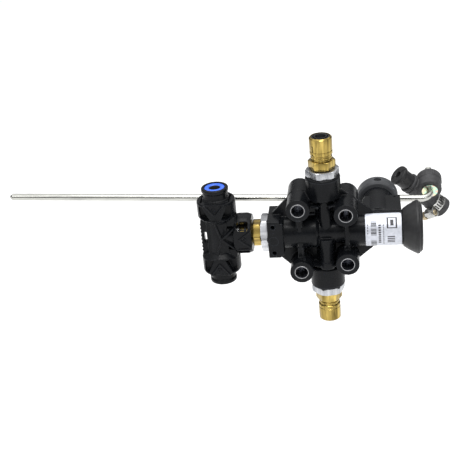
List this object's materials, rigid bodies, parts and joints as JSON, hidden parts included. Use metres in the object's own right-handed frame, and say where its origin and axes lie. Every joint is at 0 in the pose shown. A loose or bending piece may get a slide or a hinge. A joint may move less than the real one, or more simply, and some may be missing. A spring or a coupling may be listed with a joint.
{
  "type": "air suspension height control valve",
  "caption": "Lever-operated air suspension height control valve with brass push-in ports, a push-in supply tee, a bent steel lever rod and a rubber link joint.",
  "frame": {"origin": "centre of the left pair of bolt holes, on the mounting face", "axes": "+X along the spool from the supply tee to the exhaust, -Y out of the mounting face away from the lever, +Z along the top port"},
  "size_m": [0.388, 0.1169, 0.1642],
  "materials": {
    "black_nylon": "moulded, glass-filled, fine texture",
    "collet_plastic": "smooth moulded",
    "sleeve_steel": "rolled, bright",
    "nut_aluminium": "turned, satin",
    "brass": "turned, bright",
    "sintered_filter": "sintered, grainy",
    "white_acetal": "smooth",
    "spring_steel": "bright",
    "spool_aluminium": "ground, anodised",
    "zinc_steel": "zinc-plated, drawn",
    "bush_bronze": "sintered bronze",
    "yellow_zinc": "yellow passivated zinc",
    "joint_rubber": "moulded, satin",
    "boot_rubber": "moulded, dull",
    "bush_rubber": "moulded, hard",
    "seal_rubber": "smooth, greased",
    "clamp_stainless": "pressed strip",
    "clamp_screw_zinc": "zinc-plated, slotted",
    "label_film": "silver polyester film, satin",
    "blue_acetal": "smooth moulded"
  },
  "bodies": {
    "valve_body": {"body_housing": "black_nylon", "mounting_sleeves": "sleeve_steel", "inlet_nut": "nut_aluminium", "inlet_adapter": "brass", "inlet_filter": "sintered_filter", "port_nut_top": "nut_aluminium", "port_nut_bottom": "nut_aluminium", "fitting_body_top": "brass", "fitting_body_bottom": "brass", "fitting_seals": "seal_rubber", "fitting_grab_rings": "spring_steel", "tube_supports": "collet_plastic", "spool_sleeve": "brass", "sleeve_seals": "seal_rubber", "shaft_bushes": "bush_bronze", "shaft_seal": "seal_rubber", "exhaust_silencer": "sintered_filter", "exhaust_boot": "boot_rubber", "data_label": "label_film", "adapter_seal": "seal_rubber", "adapter_snap_ring": "spring_steel"},
    "check_valve": {"check_poppet": "white_acetal", "check_spring": "spring_steel"},
    "spool": {"spool": "spool_aluminium", "spool_seals": "seal_rubber"},
    "lever": {"lever_shaft": "zinc_steel", "lever_hub": "black_nylon", "lever_clamp_screw": "spring_steel"},
    "rod": {"lever_rod": "zinc_steel", "joint_washers": "yellow_zinc", "pin_clip": "spring_steel"},
    "cross_joint": {"joint_bush": "sleeve_steel", "joint_body": "joint_rubber", "split_bush": "bush_rubber", "clamp_band": "clamp_stainless", "clamp_housing": "clamp_stainless"},
    "clamp_screw": {"clamp_screw": "clamp_screw_zinc"},
    "tee": {"tee_body": "black_nylon", "tee_seals": "seal_rubber", "tee_grab_rings": "spring_steel", "tee_cartridges": "collet_plastic"},
    "tee_release_top": {"release_ring_top": "blue_acetal"},
    "tee_release_bottom": {"release_ring_bottom": "blue_acetal"},
    "collet_top": {"collet_top": "collet_plastic"},
    "collet_bottom": {"collet_bottom": "collet_plastic"},
    "exhaust_flap": {"exhaust_flap": "boot_rubber"}
  },
  "joints": [
    {"name": "lever_swing", "type": "hinge", "parent": "valve_body", "child": "lever", "pos_m": [0.0631, 0.07905, 0], "axis": [0, 1, 0], "range_deg": [-45, 45]},
    {"name": "spool_slide", "type": "slide", "parent": "valve_body", "child": "spool", "axis": [1, 0, 0], "range_m": [-0.0023, 0.0023]},
    {"name": "rod_adjust", "type": "slide", "parent": "lever", "child": "rod", "axis": [0.9989, 0, -0.0466], "range_m": [0, 0.04]},
    {"name": "joint_swivel", "type": "hinge", "parent": "rod", "child": "cross_joint", "pos_m": [0.10805, 0.07905, -0.0021], "axis": [0.0144, 0.9511, 0.3087], "range_deg": [-4, 65]},
    {"name": "clamp_screw_turn", "type": "hinge", "parent": "cross_joint", "child": "clamp_screw", "pos_m": [0.11003, 0.09365, -0.02357], "axis": [-0.6816, 0.5327, -0.5016], "continuous": true},
    {"name": "tee_swivel", "type": "hinge", "parent": "valve_body", "child": "tee", "pos_m": [-0.0673, 0.02105, 0], "axis": [1, 0, 0], "continuous": true},
    {"name": "tee_release_top_press", "type": "slide", "parent": "tee", "child": "tee_release_top", "axis": [0, 0, -1], "range_m": [0, 0.0012], "stiffness_N_per_m": 400},
    {"name": "tee_release_bottom_press", "type": "slide", "parent": "tee", "child": "tee_release_bottom", "axis": [0, 0, 1], "range_m": [0, 0.0012], "stiffness_N_per_m": 400},
    {"name": "collet_top_press", "type": "slide", "parent": "valve_body", "child": "collet_top", "axis": [0, 0, -1], "range_m": [0, 0.001], "stiffness_N_per_m": 400},
    {"name": "collet_bottom_press", "type": "slide", "parent": "valve_body", "child": "collet_bottom", "axis": [0, 0, 1], "range_m": [0, 0.001], "stiffness_N_per_m": 400},
    {"name": "check_valve_lift", "type": "slide", "parent": "valve_body", "child": "check_valve", "axis": [1, 0, 0], "range_m": [0, 0.0015], "stiffness_N_per_m": 300, "springref_m": -0.001, "deforming": ["check_spring"]},
    {"name": "exhaust_flap_lift", "type": "slide", "parent": "valve_body", "child": "exhaust_flap", "axis": [1, 0, 0], "range_m": [0, 0.0014], "stiffness_N_per_m": 200, "springref_m": -0.0005}
  ],
  "couplings": [
    {"joint": "spool_slide", "follows": "lever_swing", "m_per_rad": 0.00285}
  ]
}
